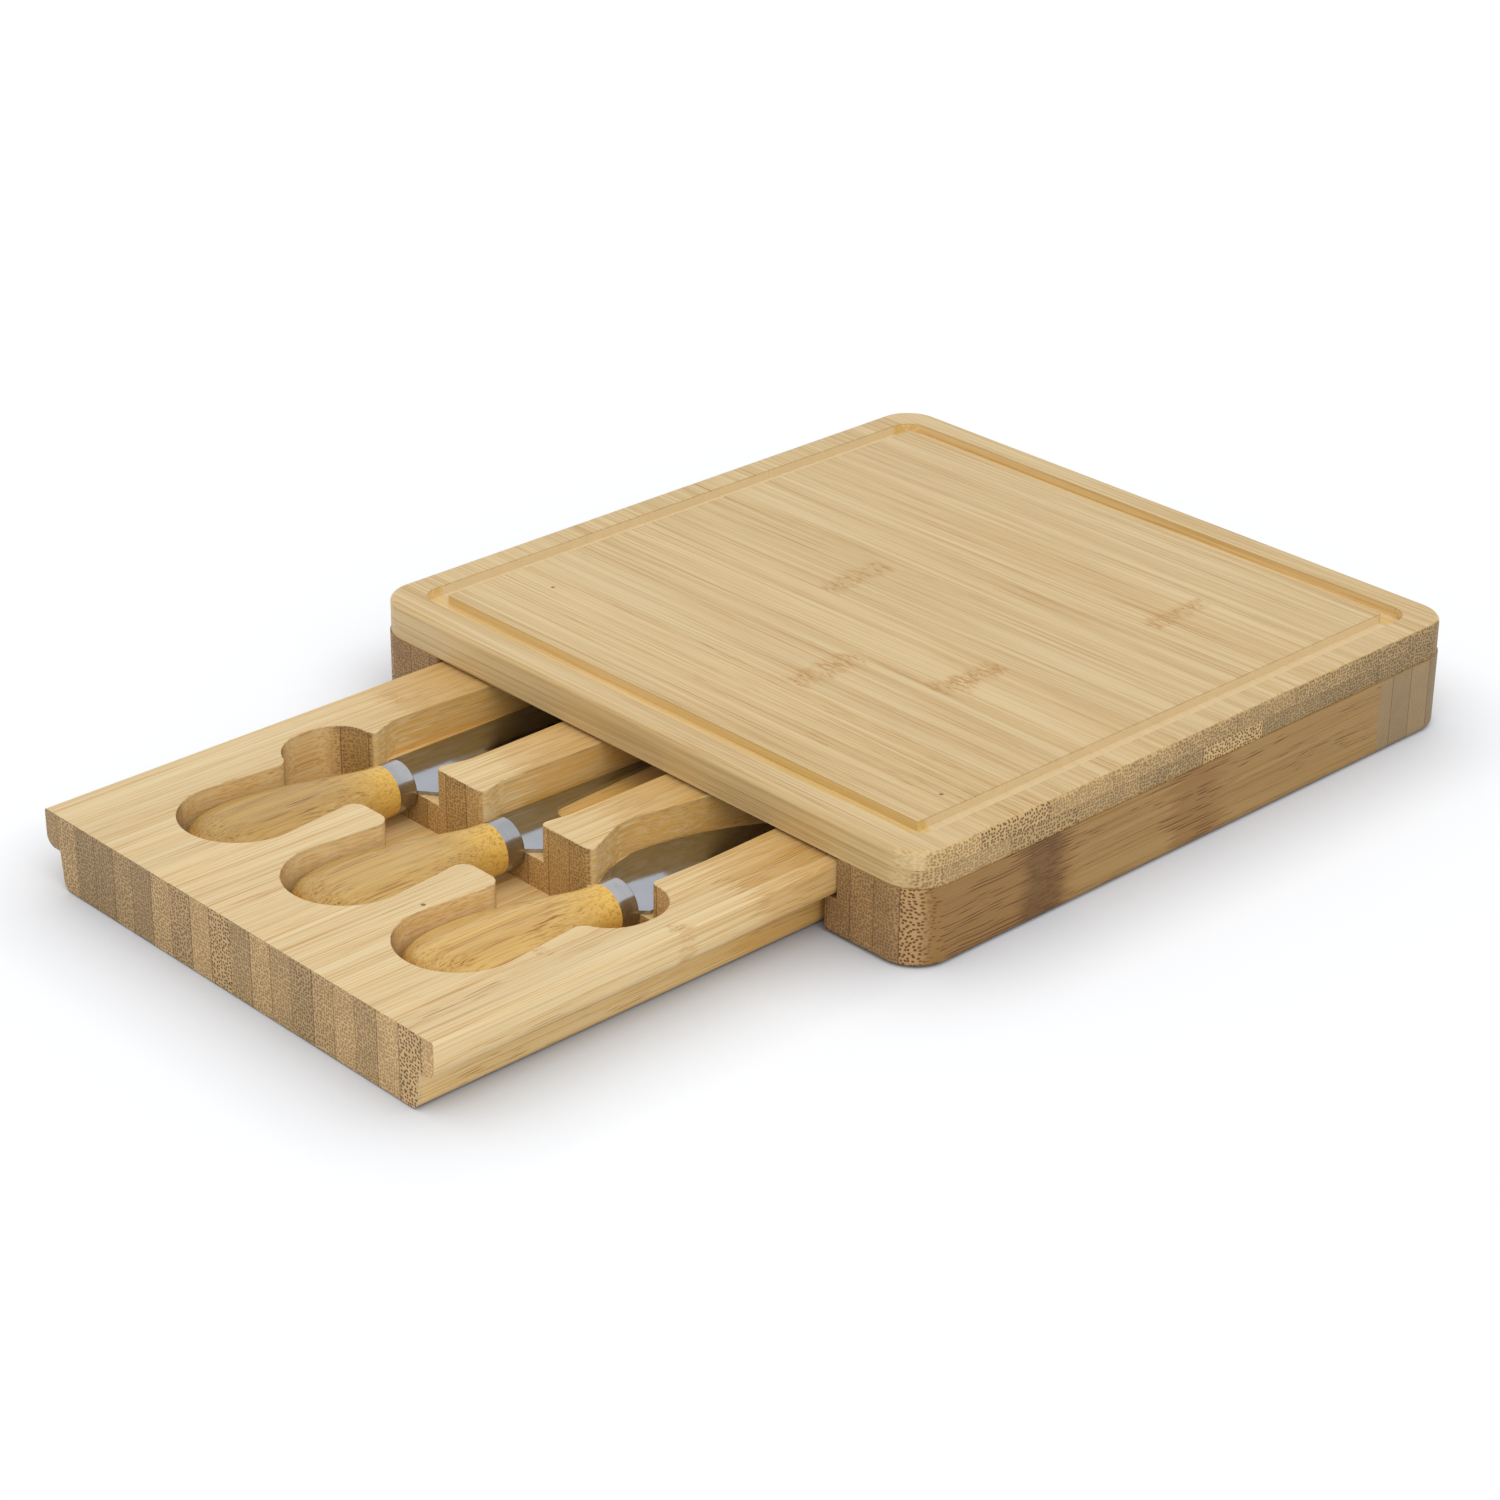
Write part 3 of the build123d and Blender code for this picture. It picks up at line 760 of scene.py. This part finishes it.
class CHEESEBOARD_OT_drawer(bpy.types.Operator):
    """Gives each lamella of the drawer its own tone, with painted light on its walls"""

    bl_idname = "cheeseboard.drawer"
    bl_label = "Drawer"

    # Growth nodes: place from the drawer's front, lamella, half length, strength
    marks = ((114, 2, 2.4, 0.8), (49, 18, 2.2, 0.8), (84, 20, 3.0, 0.9), (52, 4, 3.0, 0.8))
    # A speck: place across and from the drawer's front, radius
    specks = ((28.2, 42.2, 0.9),)
    # Where the drawer goes under the board: place from its front, half length
    rough_place = (128, 16)
    # Depths at which the walls' gold starts and is full, and how far back it deepens
    wall_depth = (0.3, 2.5)
    gold_from_front = (65, 130)
    # Half the width of the drawer's middle, between its outer walls
    inside_half = (78, 79)

    def execute(self, context):
        settings = context.scene.cheese_board
        pieces = (
            Piece(0.74, 0.60, 0.97), Piece(0.86, 0.15, 0.96), Piece(0.62, 0.20, 0.93),
            Piece(0.62, 0.20, 0.95), Piece(0.76, 0.20, 0.98), Piece(0.66, 0.25, 0.93),
            Piece(0.96, 0.15, 1.01), Piece(0.80, 0.05, 1.00), Piece(1.02, 0.30, 0.96),
            Piece(0.92, 0.98, 0.99), Piece(0.80, 0.20, 0.97), Piece(1.00, 0.20, 1.01),
            Piece(0.86, 0.25, 0.98), Piece(0.74, 0.10, 1.00), Piece(0.94, 0.15, 0.98),
            Piece(1.04, 0.25, 1.01), Piece(0.84, 0.20, 0.98), Piece(1.10, 0.30, 1.01),
            Piece(0.98, 0.97, 0.95), Piece(1.12, 0.50, 1.00),
        )
        marks = []
        for along, lamella, half_length, strength in self.marks:
            low, high = DRAWER_JOINTS[lamella - 1], DRAWER_JOINTS[lamella]
            marks.append(Mark(DRAWER_FRONT + along, low, high, half_length, strength))
        specks = [(x, DRAWER_FRONT + y, radius) for x, y, radius in self.specks]
        place, half_length = self.rough_place
        rough_places = ((DRAWER_FRONT + place, half_length),)
        wood = Bamboo(
            "drawer_bamboo", "Y", DRAWER_JOINTS, pieces, settings.drawer, settings.grain,
            rough_places,
        )

        def warm_and_paint_light(wood, colour):
            """Walls and the part nearer the board are a deeper gold, and the walls are
            painted lighter, as if lit.
            """
            below = (DRAWER_TOP - wood.z).step(*self.wall_depth)
            behind = (wood.y - DRAWER_FRONT).step(*self.gold_from_front)
            inside = 1 - abs(wood.x).step(*self.inside_half)
            walls = below * inside * wood.y.step(DRAWER_FRONT + 1, DRAWER_FRONT + 2)
            gold = (walls * 0.42 + behind * 0.52) * (1 - wood.end * 0.3)
            streak = (wood.fibre + wood.hair * 0.6).step(-0.15, 0.2) * 0.7 + 0.3
            colour = wood.shader.mix(gold * streak, colour, settings.drawer_gold)
            # Painted light: the pocket walls are made lighter where they get less light
            return wood.shader.shade(colour, walls * 0.12 + 1)

        material = wood.build(marks, specks, settings.speck_brown, warm_and_paint_light)
        dress(DRAWER, material)
        return {"FINISHED"}


class CHEESEBOARD_OT_handles(bpy.types.Operator):
    """Gives the knife handles their golden wood, more orange and curly at the neck"""

    bl_idname = "cheeseboard.handles"
    bl_label = "Handles"

    # The neck's colour: its reach from the ferrule, and how softly and raggedly it ends
    neck_reach = 26
    neck_fade = 20
    neck_wander = 22

    def execute(self, context):
        settings = context.scene.cheese_board
        nodes = [f"{knife}_handle" for knife in KNIVES]
        middles = [middle_of(node, 0) for node in nodes]
        pitch = middles[1] - middles[0]
        joints = [middles[0] + pitch * (step - 0.5) for step in range(len(nodes) + 1)]
        pieces = (Piece(1.0, 0.15, 0.80), Piece(1.0, 0.15, 0.88), Piece(1.0, 0.30, 1.02))
        wood = Bamboo("handle_wood", "Y", joints, pieces, settings.handles, settings.grain)

        def curl(wood, colour):
            """Orange towards the ferrule, with small dark curls in it."""
            shader = wood.shader
            curls = shader.noise(shader.join(wood.x, wood.y * 0.7, wood.z), 3.0, 0.7)
            from_reach = wood.y - HANDLE_END + self.neck_reach + curls * self.neck_wander
            neck = from_reach.step(0, self.neck_fade)
            colour = shader.mix(neck * 0.66, colour, settings.neck_orange)
            depth = neck * curls.step(0.0, 0.12) * 0.44
            return shader.mix(depth, colour, settings.handles.vessel)

        dress(nodes, wood.build(tint=curl, gloss=0.34))
        return {"FINISHED"}


class CHEESEBOARD_OT_ferrules(bpy.types.Operator):
    """Gives the ferrules their turned steel"""

    bl_idname = "cheeseboard.ferrules"
    bl_label = "Ferrules"

    def execute(self, context):
        settings = context.scene.cheese_board
        shader = new_shader("ferrule_steel")
        x, y, z = shader.place()
        rings = shader.noise(shader.join(x * 0.05, y * 7, z * 0.05), 2.0, 0.6)
        smudge = shader.noise(shader.join(x * 0.1, y * 0.1, z * 0.1), 3.0)
        dull = (smudge + rings * 0.5).step(-0.2, 0.3)
        colour = shader.mix(dull, settings.ferrule_steel, settings.ferrule_shade)
        relief = {"Height": rings, "Distance": STEEL_RELIEF, "Strength": 0.25}
        normal = shader.add("ShaderNodeBump", None, relief)
        values = {
            "Base Color": colour,
            "Roughness": smudge * 0.08 + rings * 0.08 + 0.21,
            "Metallic": 1.0,
            "Normal": normal,
        }
        dress([f"{knife}_ferrule" for knife in KNIVES], shader.finish(values))
        return {"FINISHED"}


class CHEESEBOARD_OT_blades(bpy.types.Operator):
    """Gives the blades their polished steel"""

    bl_idname = "cheeseboard.blades"
    bl_label = "Blades"

    def execute(self, context):
        settings = context.scene.cheese_board
        shader = new_shader("blade_steel")
        x, y, z = shader.place()
        polish = shader.noise(shader.join(x * 5, y * 0.06, z * 5), 3.0, 0.6)
        smudge = shader.noise(shader.join(x * 0.12, y * 0.12, z * 0.12), 3.0)
        dull = smudge.step(-0.2, 0.3)
        colour = shader.mix(dull, settings.blade_steel, settings.blade_shade)
        relief = {"Height": polish, "Distance": STEEL_RELIEF, "Strength": 0.15}
        normal = shader.add("ShaderNodeBump", None, relief)
        values = {
            "Base Color": colour,
            "Roughness": smudge * 0.08 + polish * 0.08 + 0.09,
            "Metallic": 1.0,
            "Normal": normal,
        }
        dress([f"{knife}_blade" for knife in KNIVES], shader.finish(values))
        return {"FINISHED"}


class CHEESEBOARD_OT_stage(bpy.types.Operator):
    """Adds the floor, the light and the camera"""

    bl_idname = "cheeseboard.stage"
    bl_label = "Stage"

    # Places and lengths are in metres, and the roll is in degrees
    floor_half = 4.0
    floor_below = 0.0002
    shadow_reach = 0.038
    sun_from = (0.70, -0.35, 1.0)
    camera_place = (0.7014, -0.6635, 0.4954)
    camera_target = (-0.0126, 0.0141, 0.0)
    camera_roll = 0.509
    sensor_width = 36.0
    nearest_seen = 0.01

    def execute(self, context):
        settings = context.scene.cheese_board
        self.add_floor(context, settings)
        self.add_sky(context, settings)
        self.add_sun(context, settings)
        self.add_camera(context, settings)
        context.scene.view_settings.view_transform = "Standard"
        return {"FINISHED"}

    def add_floor(self, context, settings):
        """A white floor that keeps its shadow, with more shadow painted into its colour and
        glow close to the object, and reads as white around it.
        """
        half = self.floor_half
        corners = [(x, y, -self.floor_below) for x, y in ((-half, -half), (half, -half))]
        corners += [(-x, -y, z) for x, y, z in corners]
        mesh = bpy.data.meshes.new("floor")
        mesh.from_pydata(corners, [], [(0, 1, 2, 3)])
        floor = bpy.data.objects.new("floor", mesh)
        context.scene.collection.objects.link(floor)
        shader = new_shader("floor_white")
        reach = {"Distance": self.shadow_reach}
        # Ambient occlusion paints a shadow into the floor's colour and dims its glow close
        # to the object
        open_sky = shader.add("ShaderNodeAmbientOcclusion", {"samples": 16}, reach, "AO")
        glow = shader.seen() * open_sky * settings.floor_glow
        white, shade = settings.floor_white, settings.floor_painted_shadow
        values = {
            "Base Color": shader.mix(open_sky, shade, white),
            "Roughness": 1.0,
            "Specular IOR Level": 0.0,
            "Emission Color": shader.join(glow, glow, glow),
            "Emission Strength": 1.0,
        }
        mesh.materials.append(shader.finish(values))

    def add_sky(self, context, settings):
        """Even light from all round, white where the camera or the steel sees it."""
        sky = Shader(bpy.data.worlds.new("studio"))
        levels = []
        for strength in (settings.sky_level, 1.0):
            values = {"Color": (1.0, 1.0, 1.0, 1.0), "Strength": strength}
            levels.append(sky.add("ShaderNodeBackground", None, values))
        both = sky.add("ShaderNodeMixShader", None, (sky.seen(), *levels))
        sky.add("ShaderNodeOutputWorld", None, {"Surface": both})
        context.scene.world = sky.owner

    def add_sun(self, context, settings):
        """A broad soft lamp, high on the right and a little ahead."""
        lamp = bpy.data.lights.new("soft_lamp", "SUN")
        lamp.angle = settings.sun_spread
        lamp.energy = settings.sun_level * math.pi
        holder = bpy.data.objects.new("soft_lamp", lamp)
        holder.location = self.sun_from
        turn = Vector(self.sun_from).to_track_quat("Z", "Y")
        holder.rotation_euler = turn.to_euler()
        context.scene.collection.objects.link(holder)

    def add_camera(self, context, settings):
        """The camera, where the straight edges of the object put it."""
        place, target = Vector(self.camera_place), Vector(self.camera_target)
        ahead = (target - place).normalized()
        right = ahead.cross(Vector((0, 0, 1))).normalized()
        down = ahead.cross(right)
        roll = math.radians(self.camera_roll)
        c, s = math.cos(roll), math.sin(roll)
        axes = Matrix((c * right - s * down, -(s * right + c * down), -ahead)).transposed()
        camera = bpy.data.cameras.new("camera")
        camera.sensor_fit = "HORIZONTAL"
        camera.sensor_width = self.sensor_width
        camera.lens = settings.lens
        camera.clip_start = self.nearest_seen
        holder = bpy.data.objects.new("camera", camera)
        holder.matrix_world = Matrix.Translation(place) @ axes.to_4x4()
        context.scene.collection.objects.link(holder)
        context.scene.camera = holder


STEPS = (
    CHEESEBOARD_OT_board_top,
    CHEESEBOARD_OT_underlayer,
    CHEESEBOARD_OT_frame,
    CHEESEBOARD_OT_drawer,
    CHEESEBOARD_OT_handles,
    CHEESEBOARD_OT_ferrules,
    CHEESEBOARD_OT_blades,
    CHEESEBOARD_OT_stage,
)


class CHEESEBOARD_PT_panel(bpy.types.Panel):
    """Lists the steps that finish the cheese board, and its settings"""

    bl_idname = "CHEESEBOARD_PT_panel"
    bl_label = "Cheese Board"
    bl_space_type = "VIEW_3D"
    bl_region_type = "UI"
    bl_category = "Cheese Board"

    def draw(self, context):
        settings = context.scene.cheese_board
        for step in STEPS:
            self.layout.operator(step.bl_idname)
        for group in (settings.board, settings.frame, settings.drawer, settings.handles):
            self.draw_group(group)
        self.draw_group(settings.grain)
        self.draw_group(settings)

    def draw_group(self, group):
        """One group's settings in a box of their own."""
        box = self.layout.box()
        for name, kind in group.__annotations__.items():
            if kind.function is not PointerProperty:
                box.prop(group, name)


CLASSES = (
    CheeseBoardTopColours,
    CheeseBoardFrameColours,
    CheeseBoardDrawerColours,
    CheeseBoardHandleColours,
    CheeseBoardGrain,
    CheeseBoardSettings,
    *STEPS,
    CHEESEBOARD_PT_panel,
)


def register():
    for item in CLASSES:
        bpy.utils.register_class(item)
    bpy.types.Scene.cheese_board = PointerProperty(type=CheeseBoardSettings)


def unregister():
    del bpy.types.Scene.cheese_board
    for item in reversed(CLASSES):
        bpy.utils.unregister_class(item)


def plain(corners):
    """Corners as lists of plain numbers."""
    return [[float(value) for value in corner] for corner in corners]


def main():
    register()
    for step in STEPS:
        name = step.bl_idname.split(".")[1]
        getattr(bpy.ops.cheeseboard, name)()


if __name__ == "__main__":
    main()
